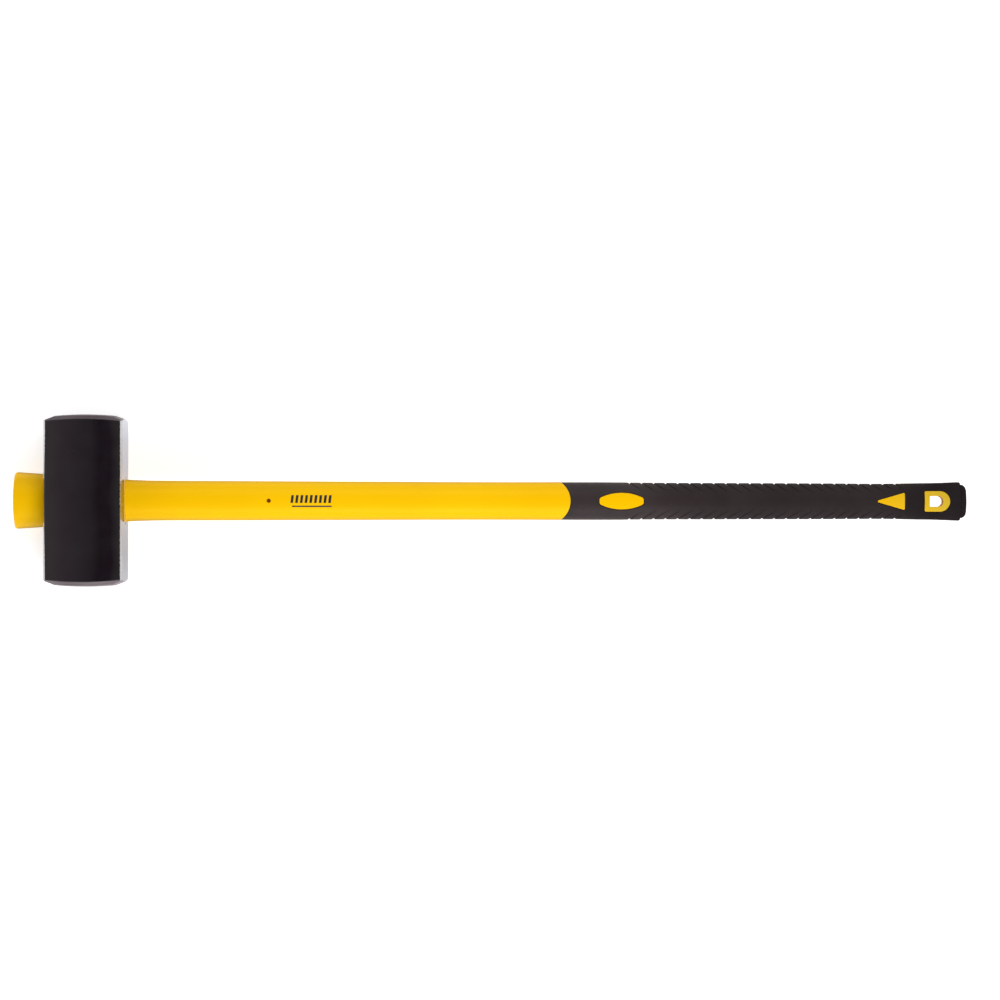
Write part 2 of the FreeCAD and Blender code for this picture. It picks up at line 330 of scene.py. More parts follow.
# ---------------------------------------------------------------- plastic, rubber, resin and ink
def yellow_plastic(name, gloss, flank_shade, butt_shade):
    """Satin moulded plastic, duller at the mould's seam, with painted shade on its flanks near the seam
    and painted shade towards the butt.
    """
    n = Nodes(name)
    along = n.axis("X")
    off_seam = n.math("ABSOLUTE", n.math("SUBTRACT", n.axis("Z"), AXIS_Z * MM))
    # the plug's end face counts as far from the seam
    plug_end = PLUG_END_X * MM
    on_end = n.remap(along, plug_end + 0.003, plug_end + 0.006, 0.012, 0.0)
    off_seam = n.math("MAXIMUM", off_seam, on_end)
    broad = n.noise(9.0, 2.0)
    colour = n.mix(n.remap(broad, 0.35, 0.65, 0, 1), (0.93, 0.515, 0.0012), (0.95, 0.545, 0.0016))
    smudge = n.noise(60.0, 5.0, 0.6, n.stretched(0.35, 1.0, 1.0))
    colour = n.mix(n.remap(smudge, 0.62, 0.78, 0.0, 0.10), colour, (0.62, 0.34, 0.02))
    # painted shade: the flanks of the handle, within a few millimetres of the mould's seam, darkened to a
    # deeper orange
    colour = n.mix(n.remap(off_seam, 0.001, 0.009, flank_shade, 0.0), colour, (0.34, 0.20, 0.003))
    # painted shade: darker, duller yellow towards the butt, where the light falls off
    colour = n.mix(n.remap(along, 0.74, 0.81, 0.0, butt_shade), colour, (0.52, 0.42, 0.055))
    peel = n.bump(n.noise(900.0, 2.0), 0.10, 0.0004)
    drawn = n.noise(420.0, 3.0, 0.5, n.stretched(0.05, 1.0, 1.0))
    n.set(Base_Color=colour, Roughness=n.remap(smudge, 0.3, 0.7, 0.34, 0.46),
          Specular_IOR_Level=n.remap(off_seam, 0.003, 0.012, 0.0, gloss),
          Specular_Tint=(1.0, 0.72, 0.10, 1.0), Normal=n.bump(drawn, 0.06, 0.0003, peel))
    return n.material


def black_rubber():
    """Grainy dusty rubber with painted shade: darker along the grip and darkest at the butt, where it is
    also rougher and less glossy.
    """
    n = Nodes("black_rubber")
    broad = n.noise(22.0, 4.0)
    dust = n.noise(140.0, 5.0, 0.65)
    base = n.mix(n.remap(broad, 0.35, 0.65, 0, 1), (0.0290, 0.0195, 0.0205), (0.0380, 0.0265, 0.0275))
    base = n.mix(n.remap(dust, 0.60, 0.80, 0.0, 0.35), base, (0.060, 0.050, 0.048))
    along = n.axis("X")
    # painted shade: the rubber's colour darkens along the grip and most at the butt, as the light falls
    # off towards the tool's end
    shade_along_grip = n.remap(along, 0.52, 0.60, 0.0, 0.22)
    butt = n.remap(along, 0.74, 0.80, 0.0, 0.22)
    shade = n.math("ADD", shade_along_grip, butt)
    rough = n.math("ADD", n.remap(dust, 0.3, 0.7, 0.50, 0.64), n.math("MULTIPLY", shade, 0.3))
    grain = n.bump(n.noise(2600.0, 2.0, 0.6), 0.35, 0.00025)
    n.set(Base_Color=n.mix(shade, base, (0.0040, 0.0070, 0.0075)), Roughness=rough,
          Specular_IOR_Level=n.remap(shade, 0.0, 0.44, 0.16, 0.0),
          Normal=n.bump(n.noise(700.0, 3.0), 0.20, 0.0003, grain))
    return n.material


def amber_resin():
    n = Nodes("amber_resin")
    cloud = n.noise(240.0, 4.0)
    n.set(Base_Color=n.mix(cloud, (0.60, 0.32, 0.008), (0.80, 0.45, 0.012)),
          Roughness=n.remap(cloud, 0.3, 0.7, 0.16, 0.34),
          Normal=n.bump(cloud, 0.4, 0.0004))
    return n.material


def glass_fibre():
    n = Nodes("glass_fibre")
    strands = n.noise(1500.0, 4.0, 0.6, n.stretched(0.02, 1.0, 1.0))
    n.set(Base_Color=n.mix(n.remap(strands, 0.3, 0.7, 0, 1), (0.42, 0.27, 0.09), (0.62, 0.45, 0.20)),
          Roughness=n.remap(strands, 0.3, 0.7, 0.38, 0.55),
          Normal=n.bump(strands, 0.5, 0.0002))
    return n.material


def printing_ink():
    n = Nodes("printing_ink")
    patchy = n.noise(1400.0, 4.0, 0.6)
    n.set(Base_Color=n.mix(n.remap(patchy, 0.62, 0.8, 0, 0.4), (0.012, 0.010, 0.009), (0.25, 0.15, 0.02)),
          Roughness=n.remap(patchy, 0.3, 0.7, 0.38, 0.52),
          Normal=n.bump(patchy, 0.1, 0.0001))
    return n.material


# ---------------------------------------------------------------- steel and lacquer
# The low and high shares are painted reflection: the share of the colour at the -Y and +Y end of the
# head, lighter at one end than the other. Smooth is the least roughness, and grinding the strength of the
# ground lines.
SIDE_STEEL = dict(dark=(0.37, 0.385, 0.44), light=(0.455, 0.475, 0.54),
                  low_painted_reflection=0.46, high_painted_reflection=0.80, smooth=0.03, grinding=0.03)
END_STEEL = dict(dark=(0.080, 0.068, 0.073), light=(0.122, 0.106, 0.112),
                 low_painted_reflection=1.15, high_painted_reflection=0.85, smooth=0.24, grinding=0.22)
CHAMFER_STEEL = dict(dark=(0.42, 0.415, 0.43), light=(0.50, 0.495, 0.515),
                     low_painted_reflection=0.86, high_painted_reflection=1.0, smooth=0.08, grinding=0.08)


def painted_reflection_share(n, finish):
    """Painted reflection: the share of the steel's colour, running from the -Y to the +Y end of the head.
    """
    return n.remap(n.axis("Y"), -0.05, 0.05, finish["low_painted_reflection"], finish["high_painted_reflection"])


def steel_colour(n, finish):
    """Cloudy bare metal with a few specks of rust, scaled by a painted reflection share from the -Y to
    the +Y end.
    """
    cloud = n.noise(35.0, 4.0)
    base = n.mix(n.remap(cloud, 0.35, 0.65, 0, 1), finish["dark"], finish["light"])
    rust = n.noise(330.0, 6.0, 0.7)
    return n.mix(n.remap(rust, 0.66, 0.80, 0.0, 0.45), n.scaled(base, painted_reflection_share(n, finish)),
                 (0.20, 0.15, 0.12))


def steel_roughness(n, finish):
    patches = n.noise(260.0, 5.0, 0.6, n.stretched(0.25, 0.25, 1.0))
    return n.remap(patches, 0.3, 0.7, finish["smooth"], 1.5 * finish["smooth"] + 0.04)


def bare_steel(name, finish, edge_tint):
    n = Nodes(name)
    lines = n.noise(700.0, 4.0, 0.65, n.stretched(1.0, 0.03, 1.0))
    cloud = n.bump(n.noise(35.0, 4.0), finish["grinding"] / 3, 0.0015)
    # the colour and the edge tint both carry the painted reflection ramp along Y
    n.set(Base_Color=steel_colour(n, finish), Roughness=steel_roughness(n, finish), Metallic=1.0,
          Normal=n.bump(lines, finish["grinding"], 0.0002, cloud),
          Specular_Tint=n.scaled(edge_tint, painted_reflection_share(n, finish)))
    return n.material


def bare_share(n):
    """1 where the lacquer is gone: past the ragged border of the cheek and in a few flecks."""
    x_signed = n.axis("X")
    y_signed = n.axis("Y")
    x = n.math("ABSOLUTE", x_signed)
    y = n.math("ABSOLUTE", y_signed)
    # near the eye the lacquer reaches further over the edge on the plug's side
    y_squared = n.math("MULTIPLY", y_signed, y_signed)
    fall = n.math("EXPONENT", n.math("MULTIPLY", y_squared, -1 / 0.048 ** 2))
    plug_side = n.math("LESS_THAN", x_signed, 0.0)
    spread = n.math("MULTIPLY", n.math("MULTIPLY", fall, plug_side), 0.0013)
    edge = n.math("ADD", spread, (HALF_SIDE - LONG_CHAMFER + 0.2) * MM)
    side_gap = n.math("SUBTRACT", edge, x)
    bow = n.math("MULTIPLY", n.math("MULTIPLY", x, x), 1 / (2 * CROWN_RADIUS * MM))
    border_y = (end_surface(0.0, HALF_SIDE) + 0.45) * MM
    end_gap = n.math("SUBTRACT", n.math("SUBTRACT", border_y, bow), y)
    gap = n.math("MINIMUM", side_gap, end_gap)
    ragged = n.remap(n.noise(420.0, 6.0, 0.7), 0.3, 0.7, -0.00025, 0.00055)
    bare = n.remap(n.math("SUBTRACT", gap, ragged), 0.0, 0.00015, 1.0, 0.0)
    fleck = n.remap(n.noise(520.0, 3.0, 0.5), 0.765, 0.785, 0.0, 0.6)
    return n.math("MAXIMUM", bare, fleck)


def lacquer_painted_shade(n):
    """Black with painted shade across the cheek: brownish grey at the plug's side, darkening to deep
    black towards the handle's side.
    """
    x = n.axis("X")
    shade_drift = n.remap(n.noise(14.0, 3.0, 0.5), 0.3, 0.7, -0.004, 0.004)
    # painted shade: this ramp darkens the lacquer across the cheek from the plug's side to the handle's
    ramp = n.add("ShaderNodeValToRGB")
    n.link(n.remap(n.math("ADD", x, shade_drift), -0.036, 0.036, 0.0, 1.0), ramp.inputs["Fac"])
    stops = ((0.05, (0.0265, 0.0210, 0.0220)), (0.23, (0.0205, 0.0145, 0.0190)),
             (0.42, (0.0155, 0.0112, 0.0145)), (0.59, (0.0117, 0.0079, 0.0105)),
             (0.71, (0.0048, 0.0018, 0.0040)), (0.86, (0.0060, 0.0025, 0.0055)),
             (0.96, (0.0165, 0.0137, 0.0146)))
    elements = ramp.color_ramp.elements
    for (place, colour), old in zip(stops[:2], list(elements)):
        old.position = place
        old.color = (*colour, 1)
    for place, colour in stops[2:]:
        elements.new(place).color = (*colour, 1)
    return ramp.outputs["Color"]


def black_lacquer():
    """Black satin lacquer on a cheek, with painted shade across it and bare steel where it is gone."""
    n = Nodes("black_lacquer")
    bare = bare_share(n)
    paint_rough = n.remap(n.noise(55.0, 5.0, 0.6), 0.3, 0.7, 0.34, 0.50)
    wave = n.bump(n.noise(28.0, 2.0), n.remap(bare, 0, 1, 0.25, 0.03), 0.0012)
    peel = n.noise(330.0, 3.0, 0.5)
    n.set(Base_Color=n.mix(bare, lacquer_painted_shade(n), steel_colour(n, CHAMFER_STEEL)), Metallic=bare,
          Roughness=n.mix_value(bare, paint_rough, steel_roughness(n, CHAMFER_STEEL)),
          Specular_IOR_Level=0.20,
          Normal=n.bump(peel, n.remap(bare, 0, 1, 0.22, 0.03), 0.00022, wave))
    return n.material


# ---------------------------------------------------------------- head
HEAD_STEPS = 24
EYE_SEGMENTS = 96


class MeshParts:
    """Points, faces and material slots of one mesh while it is put together."""

    def __init__(self):
        self.points = []
        self.faces = []
        self.slots = []

    def vertex(self, x, y, z):
        self.points.append((x, y, z))
        return len(self.points) - 1

    def face(self, indices, slot=0):
        self.faces.append(indices)
        self.slots.append(slot)


def end_profile(across):
    """Distance along the striking direction of the end's middle section."""
    flat_half = HALF_SIDE - BEVEL_WIDTH
    centre = HALF_LENGTH - CROWN_RADIUS
    across = abs(across)
    if across <= flat_half:
        return centre + math.sqrt(CROWN_RADIUS ** 2 - across ** 2)
    edge = centre + math.sqrt(CROWN_RADIUS ** 2 - flat_half ** 2)
    return edge - (across - flat_half) * BEVEL_DROP / BEVEL_WIDTH


def end_surface(x, z):
    """Where the striking end lies over a point of the head's square section."""
    centre = HALF_LENGTH - CROWN_RADIUS
    swept = [centre + math.sqrt((end_profile(b) - centre) ** 2 - a * a) for a, b in ((x, z), (z, x))]
    return min(swept)


def around_section(side, along, out):
    """A point of the head's section, given along and out from one of its four sides."""
    return ((along, out), (out, -along), (-along, -out), (-out, along))[side]


def add_striking_end(mesh, sign):
    """One crowned end with its bevel. Gives its rim along each side and the corners between."""
    steps = HEAD_STEPS
    flat_half = HALF_SIDE - BEVEL_WIDTH
    rim_halves = (HALF_SIDE - LONG_CHAMFER, HALF_SIDE - LONG_CHAMFER_DEPTH) * 2
    corner_x = HALF_SIDE - LONG_CHAMFER / 2
    corner_z = HALF_SIDE - LONG_CHAMFER_DEPTH / 2

    def vertex(x, z):
        return mesh.vertex(x, sign * end_surface(x, z), z)

    places = [flat_half * (2 * k / steps - 1) for k in range(steps + 1)]
    grid = [[vertex(x, z) for x in places] for z in places]
    for i in range(steps):
        for j in range(steps):
            mesh.face([grid[i][j], grid[i][j + 1], grid[i + 1][j + 1], grid[i + 1][j]], END_SLOT)
    inner = [grid[steps], [row[steps] for row in grid[::-1]], grid[0][::-1], [row[0] for row in grid]]
    corners = []
    for side in range(4):
        right, up = around_section(side, 1, 1)
        corners.append(vertex(right * corner_x, up * corner_z))
    rims = []
    for side in range(4):
        rim = [vertex(*around_section(side, rim_halves[side] * (2 * k / steps - 1), HALF_SIDE))
               for k in range(steps + 1)]
        for k in range(1, steps - 1):
            mesh.face([inner[side][k], inner[side][k + 1], rim[k + 1], rim[k]], END_SLOT)
        mesh.face([inner[side][0], inner[side][1], rim[1], rim[0], corners[side - 1]], END_SLOT)
        mesh.face([inner[side][-2], inner[side][-1], corners[side], rim[-1], rim[-2]], END_SLOT)
        rims.append(rim)
    return rims, corners


def add_cheeks(mesh, near_end, far_end):
    """The two cheeks and the four chamfered long edges between the striking ends."""
    near_rims, near_corners = near_end
    far_rims, far_corners = far_end
    for side in range(4):
        after = (side + 1) % 4
        mesh.face([near_rims[side][-1], near_corners[side], near_rims[after][0],
                   far_rims[after][0], far_corners[side], far_rims[side][-1]], LACQUER_SLOT)
    for side in (0, 2):
        mesh.face(near_rims[side] + far_rims[side][::-1], LACQUER_SLOT)


def add_eye(mesh):
    """The tapered oval hole with its chamfered mouths. Gives the outline of each mouth."""
    def oval(x, half):
        angles = [2 * math.pi * k / EYE_SEGMENTS for k in range(EYE_SEGMENTS)]
        return [mesh.vertex(x, half * math.cos(a), half * DEPTH_RATIO * math.sin(a)) for a in angles]

    def join(first, second):
        for k in range(EYE_SEGMENTS):
            following = (k + 1) % EYE_SEGMENTS
            mesh.face([first[k], first[following], second[following], second[k]])

    mouths = {}
    throats = {}
    for sign in (1, -1):
        throat_x = sign * (HALF_SIDE - RIM_CHAMFER)
        throat_half = plug_half(throat_x) + RESIN
        mouths[sign] = oval(sign * HALF_SIDE, throat_half + RIM_CHAMFER)
        throats[sign] = oval(throat_x, throat_half)
        join(mouths[sign], throats[sign])
    join(throats[1], throats[-1])
    return mouths


def add_eye_sides(mesh, near_rims, far_rims, mouths):
    """The two sides with the eye in them, each made of an upper and a lower half."""
    middle = HEAD_STEPS // 2
    half_turn = EYE_SEGMENTS // 2
    for side, sign in ((1, 1), (3, -1)):
        mouth = mouths[sign]
        near, far = near_rims[side], far_rims[side]
        # side 1 runs from high z to low z, side 3 from low z to high z
        first, second = (near[:middle + 1], far[:middle + 1]), (near[middle:], far[middle:])
        upper, lower = (first, second) if side == 1 else (second, first)
        top_arc = mouth[:half_turn + 1]
        bottom_arc = [mouth[0]] + mouth[:half_turn - 1:-1]
        for (near_part, far_part), arc in ((upper, top_arc), (lower, bottom_arc)):
            near_out = near_part if mesh.points[near_part[0]][2] ** 2 < 1 else near_part[::-1]
            far_back = far_part[::-1] if mesh.points[far_part[0]][2] ** 2 < 1 else far_part
            mesh.face(near_out + far_back + arc[::-1])


def build_head(steel, lacquer, end_steel):
    """One forging: crowned ends, bevels, chamfered long edges and the oval eye."""
    mesh = MeshParts()
    near_end = add_striking_end(mesh, 1)
    far_end = add_striking_end(mesh, -1)
    add_cheeks(mesh, near_end, far_end)
    mouths = add_eye(mesh)
    add_eye_sides(mesh, near_end[0], far_end[0], mouths)
    head = add_mesh("head_forging", mesh.points, mesh.faces, steel, lacquer, end_steel)
    for polygon, slot in zip(head.data.polygons, mesh.slots):
        polygon.material_index = slot
    recalculate_outside(head)
    soften_edges(head, EDGE_SOFTNESS, 8)
    return head


# ---------------------------------------------------------------- yellow jacket
def oval_angles(count, seam=True):
    """Angles round the oval, with a few close ones at the two edges for the mould's seam line."""
    angles = set(np.linspace(0, 360, count, endpoint=False).round(4))
    if seam:
        for edge in (0.0, 180.0):
            angles = {a for a in angles if min(abs(a - edge), 360 - abs(a - edge)) > 2.4}
            angles |= {(edge + off) % 360 for off in (-1.9, -1.1, -0.6, 0.0, 0.6, 1.1, 1.9)}
    return np.radians(sorted(angles))


def seam_lift(angles, height):
    """The thin raised line where the two halves of the mould met."""
    degrees = np.degrees(angles)
    off = np.minimum(np.minimum(degrees, 360 - degrees), abs(degrees - 180))
    return height * (1 - smoothstep(0.6, 1.5, off))


def ring(x, half, angles):
    """One oval row of points. x and half may vary round the row."""
    x = np.broadcast_to(np.asarray(x, float), angles.shape)
    return np.stack([x, half * np.cos(angles), half * DEPTH_RATIO * np.sin(angles)], axis=-1)


def rounded_outline(corners, count):
    """Evenly spaced points on a closed outline whose corners (x, y, radius) are rounded."""
    path = []
    total = len(corners)
    for k in range(total):
        before, here, after = (np.array(corners[(k + s) % total][:2]) for s in (-1, 0, 1))
        radius = corners[k][2]
        inward = (before - here) / np.linalg.norm(before - here)
        outward = (after - here) / np.linalg.norm(after - here)
        half_angle = math.acos(np.clip(inward @ outward, -1, 1)) / 2
        reach = radius / math.tan(half_angle)
        centre_way = (inward + outward) / np.linalg.norm(inward + outward)
        centre = here + centre_way * radius / math.sin(half_angle)
        start, end = here + inward * reach, here + outward * reach
        a0 = math.atan2(*(start - centre)[::-1])
        a1 = math.atan2(*(end - centre)[::-1])
        sweep = (a1 - a0 + math.pi) % (2 * math.pi) - math.pi
        for t in np.linspace(0, 1, 24):
            angle = a0 + sweep * t
            path.append(centre + radius * np.array([math.cos(angle), math.sin(angle)]))
    path = np.array(path + [path[0]])
    lengths = np.concatenate([[0], np.cumsum(np.linalg.norm(np.diff(path, axis=0), axis=1))])
    stops = np.linspace(0, lengths[-1], count, endpoint=False)
    return np.stack([np.interp(stops, lengths, path[:, i]) for i in (0, 1)], axis=-1)


def d_outline(x_range, height, corner, count):
    """Flat towards the head and half round towards the butt, starting at the flat's middle."""
    half = height / 2
    round_x = x_range[1]
    outline = rounded_outline([(x_range[0], -half, corner), (round_x, -half, half * 0.995),
                               (round_x, half, half * 0.995), (x_range[0], half, corner)], count)
    start = np.argmin((outline[:, 0] - x_range[0]) ** 2 + outline[:, 1] ** 2)
    return np.roll(outline, -start, axis=0)


def oval_outline(count):
    """The front window: two long arcs joined by short straight ends."""
    half, half_end = OVAL_HEIGHT / 2, OVAL_END_HEIGHT / 2
    half_length = (OVAL_X[1] - OVAL_X[0]) / 2
    rise = half - half_end
    radius = (half_length ** 2 + rise ** 2) / (2 * rise)
    reach = math.asin(half_length / radius)
    corners = []
    for side in (-1, 1):
        for t in np.linspace(-1, 1, 13):
            bend = -side * t * reach
            x = sum(OVAL_X) / 2 + radius * math.sin(bend)
            y = side * (half - radius * (1 - math.cos(bend)))
            corners.append((x, y, 2.3 if abs(t) == 1 else 0.4))
    return rounded_outline(corners, count)


def triangle_outline(count):
    tip_x, base_x = TRIANGLE_X
    return rounded_outline([(tip_x, -TRIANGLE_TIP / 2, 0.6), (base_x, -TRIANGLE_HEIGHT / 2, 1.0),
                            (base_x, TRIANGLE_HEIGHT / 2, 1.0), (tip_x, TRIANGLE_TIP / 2, 0.6)], count)


def window_rows(outline, hole=None):
    """Rows of points over a raised window's top: from the foot, round its edge, to its middle."""
    centre = outline.mean(axis=0)
    size = np.linalg.norm(outline - centre, axis=1).mean()
    rows = []
    edge_rows = [(0.0, -0.9), (0.0, -0.25), (0.10, 0.02), (0.28, 0.12), (0.55, WINDOW_LIFT)]
    for inset, lift in edge_rows:
        xy = centre + (outline - centre) * (1 - inset / size)
        rows.append(np.column_stack([xy, surface_z(xy[:, 0], xy[:, 1], GRIP) + lift]))
    start = rows[-1][:, :2]
    if hole is None:
        for t in np.linspace(0.93, 0.01, 15):
            xy = centre + (start - centre) * t
            rows.append(np.column_stack([xy, surface_z(xy[:, 0], xy[:, 1], GRIP) + WINDOW_LIFT]))
    else:
        hole_centre = hole.mean(axis=0)
        hole_size = np.linalg.norm(hole - hole_centre, axis=1).mean()
        lip = hole_centre + (hole - hole_centre) * (1 + 0.6 / hole_size)
        for t in np.linspace(0.15, 1, 7):
            xy = start + (lip - start) * t
            rows.append(np.column_stack([xy, surface_z(xy[:, 0], xy[:, 1], GRIP) + WINDOW_LIFT]))
        for inset, drop in ((0.30, 0.10), (0.10, 0.30), (0.0, 0.65), (0.0, 1.2)):
            xy = hole_centre + (hole - hole_centre) * (1 + inset / hole_size)
            rows.append(np.column_stack([xy, surface_z(xy[:, 0], xy[:, 1], GRIP) + WINDOW_LIFT - drop]))
    return rows


def window_mesh(outline, hole=None):
    """A raised window right through the handle: top, sides, bottom and, if asked, its hole."""
    upper = window_rows(outline, hole)
    lower = [row * (1, 1, -1) for row in upper]
    count = len(outline)
    rows = lower[::-1] + upper
    quads = loop_quads(len(rows), count, close_rows=hole is not None)
    faces = [list(q) for q in quads]
    if hole is None:
        last = (len(rows) - 1) * count
        faces.append(list(range(count))[::-1])
        faces.append([last + k for k in range(count)])
    return np.concatenate(rows), faces


def build_windows(plastic):
    """The three raised windows, each on both faces of the grip."""
    windows = []
    for name, outline, hole in (
            ("window_oval", oval_outline(160), None),
            ("window_triangle", triangle_outline(160), None),
            ("window_hang_hole", d_outline(HANG_X, HANG_HEIGHT, HANG_CORNER, 200),
             d_outline(HOLE_X, HOLE_HEIGHT, HOLE_CORNER, 200))):
        points, faces = window_mesh(outline, hole)
        window = add_mesh(name, points, faces, plastic)
        recalculate_outside(window)
        windows.append(window)
    return windows


def plug_rows(angles, seam):
    """The crowned end of the plug, its rounded edge and its taper through the eye."""
    rows = []
    shoulder = plug_half(PLUG_END_X) - PLUG_EDGE_RADIUS
    crown_x = PLUG_END_X + PLUG_CROWN_RADIUS
    for t in np.linspace(0.01, 1, 16):
        r = shoulder * t
        rows.append(ring(crown_x - math.sqrt(PLUG_CROWN_RADIUS ** 2 - r * r), r, angles))
    shoulder_x = crown_x - math.sqrt(PLUG_CROWN_RADIUS ** 2 - shoulder ** 2)
    side_x = shoulder_x + PLUG_EDGE_RADIUS
    for bend in np.radians(np.linspace(10, 90, 9)):
        r = shoulder + (plug_half(side_x) - shoulder) * math.sin(bend)
        rows.append(ring(side_x - PLUG_EDGE_RADIUS * math.cos(bend), r, angles))
    for x in np.arange(side_x + 1.5, TAPER_END_X, 3.0):
        rows.append(ring(x, plug_half(x) + seam, angles))
    return rows


def shaft_rows(angles, seam):
    """The shaft up to its arched joint with the rubber, then the plain part under the grip."""
    rows = []
    arch_start = 436.0
    joint_gap = 0.10
    for x in np.concatenate([np.arange(TAPER_END_X, 80, 2.5), np.arange(80, arch_start, 4.0)]):
        rows.append(ring(x, height_through(SHAFT, x) / 2 + seam, angles))
    edge = front_edge(height_through(SHAFT, FRONT_SECTION_X) / 2 * np.cos(angles)) - joint_gap
    for t in np.linspace(0.08, 1, 12):
        x = arch_start + (edge - 0.35 - arch_start) * t
        rows.append(ring(x, height_through(SHAFT, x) / 2 + seam * (t < 0.95), angles))
    full = height_through(SHAFT, edge) / 2
    for back, down in ((0.12, 0.08), (0.0, 0.35), (0.0, 2.6)):
        rows.append(ring(edge - back, full - down, angles))
    rows.append(ring(edge + 3.0, UNDER_GRIP_HALF, angles))
    for x in np.linspace(470, UNDER_GRIP_END_X, 30):
        rows.append(ring(x, UNDER_GRIP_HALF, angles))
    return rows


def build_jacket(plastic):
    """One moulding from the plug's end to under the grip, with its pin marks."""
    angles = oval_angles(192)
    seam = seam_lift(angles, 0.09)
    rows = plug_rows(angles, seam) + shaft_rows(angles, seam)
    count = len(angles)
    faces = [list(q) for q in loop_quads(len(rows), count)]
    faces.append(list(range(count))[::-1])
    faces.append([(len(rows) - 1) * count + k for k in range(count)])
    body = add_mesh("handle_jacket_moulding", np.concatenate(rows), faces, plastic)
    recalculate_outside(body)
    drill_pin_marks(body)
    return body


def drill_pin_marks(body):
    """Cut the two round marks of the pins that held the rod in the mould."""
    segments = 40
    angles = np.linspace(0, 2 * math.pi, segments, endpoint=False)
    rows = []
    for z in (-30.0, 30.0):
        rows.append(np.column_stack([PIN_X + PIN_RADIUS * np.cos(angles), PIN_RADIUS * np.sin(angles),
                                     np.full(segments, z)]))
    faces = [list(q) for q in loop_quads(2, segments)]
    faces += [list(range(segments))[::-1], list(range(segments, 2 * segments))]
    drill = add_mesh("pin_drill", np.concatenate(rows), faces)
    recalculate_outside(drill)
    cut = body.modifiers.new("pin_marks", "BOOLEAN")
    cut.operation = "DIFFERENCE"
    cut.solver = "EXACT"
    cut.object = drill
    graph = bpy.context.evaluated_depsgraph_get()
    drilled = bpy.data.meshes.new_from_object(body.evaluated_get(graph), depsgraph=graph)
    body.modifiers.clear()
    body.data = drilled
    bpy.data.objects.remove(drill)
    sharp = body.data.attributes.new("sharp_edge", "BOOLEAN", "EDGE")
    wall = {}
    for polygon in body.data.polygons:
        on_wall = abs(polygon.normal.z) < 0.1 and abs(polygon.center.x - PIN_X * MM) < 0.003
        for key in polygon.edge_keys:
            wall.setdefault(key, []).append(on_wall)
    values = [len(set(wall.get(e.key, []))) > 1 for e in body.data.edges]
    sharp.data.foreach_set("value", values)


# ---------------------------------------------------------------- rubber grip
def outline_distance(x, y, outline):
    """Signed distance to a closed outline, negative inside. x and y are flat arrays."""
    a = outline
    b = np.roll(outline, -1, axis=0)
    best = np.full(x.shape, 1e9)
    inside = np.zeros(x.shape, bool)
    for (ax, ay), (bx, by) in zip(a, b):
        dx, dy = bx - ax, by - ay
        t = np.clip(((x - ax) * dx + (y - ay) * dy) / (dx * dx + dy * dy), 0, 1)
        best = np.minimum(best, np.hypot(x - ax - t * dx, y - ay - t * dy))
        if dy:
            crosses = ((ay > y) != (by > y)) & (x < (y - ay) * dx / dy + ax)
            inside ^= crosses
    return np.where(inside, -best, best)


def panel_half_width(x):
    """Half width of the smooth strip down the middle of each face of the grip."""
    plain = np.full(x.shape, 6.4)
    oval_middle = sum(OVAL_X) / 2
    round_oval = 10.6 * np.sqrt(np.clip(1 - ((x - oval_middle) / 33.0) ** 2, 0, 1))
    along_triangle = 4.2 + (x - TRIANGLE_X[0] + 4) * 0.29
    round_triangle = np.where(x > TRIANGLE_X[0] - 6, along_triangle, 0)
    return np.maximum(plain, np.maximum(round_oval, round_triangle))


def tread_depth(x, y):
    """How far the rubber lies below its plain oval because of the slanting grooves."""
    across = abs(y)
    half = height_through(GRIP, x) / 2
    slanted = x - (half - across) * GROOVE_SLANT
    phase = (slanted - GROOVE_FIRST_X) / GROOVE_PITCH
    last = GROOVE_COUNT - 1
    nearest = np.clip(np.round(phase), 0, last)
    off = (phase - nearest) * GROOVE_PITCH
    slot = 1 - smoothstep(0.55, 1.35, abs(off))
    beyond = np.where(off >= 0, off, off + GROOVE_PITCH)
    scale = 1 - beyond / GROOVE_PITCH
    on_tread = (phase > -0.35) & (phase < last + 0.75)
    panel = panel_half_width(x)
    outward = smoothstep(0.0, 1.6, across - panel)
    rise = smoothstep(panel, half, across)
    groove = slot * (0.16 + 1.1 * rise) * outward
    fish_scale = 0.22 * scale * outward * (1 - 0.75 * smoothstep(0.80, 1.0, across / half))
    border = 0.12 * np.exp(-((across - panel) / 0.45) ** 2)
    in_length = smoothstep(GROOVE_FIRST_X - 8, GROOVE_FIRST_X + 6, x)
    in_length = in_length * (1 - smoothstep(770, 782, x))
    return np.where(on_tread, groove + fish_scale * in_length, 0) + border * in_length


def grip_rows(angles):
    """Oval rows from the arched joint over the tread and the flare to the middle of the butt."""
    tread_start_x = 485.0
    joint_gap = 0.12
    front_x = front_edge(height_through(GRIP, FRONT_SECTION_X) / 2 * np.cos(angles)) + joint_gap
    rows = []
    for ahead, down in ((0.0, 2.2), (0.0, 0.42), (0.10, 0.14), (0.34, 0.0)):
        x = front_x + ahead
        rows.append(ring(x, height_through(GRIP, x) / 2 - down, angles))
    for t in np.linspace(0, 1, 34)[1:-1]:
        x = (front_x + 0.34) * (1 - t) + tread_start_x * t
        rows.append(ring(x, height_through(GRIP, x) / 2, angles))
    for x in np.concatenate([np.arange(tread_start_x, 535, 0.32), np.arange(535, 742, 0.42),
                             np.arange(742, 821, 0.32)]):
        rows.append(ring(x, height_through(GRIP, x) / 2, angles))
    return rows + butt_rows(angles)


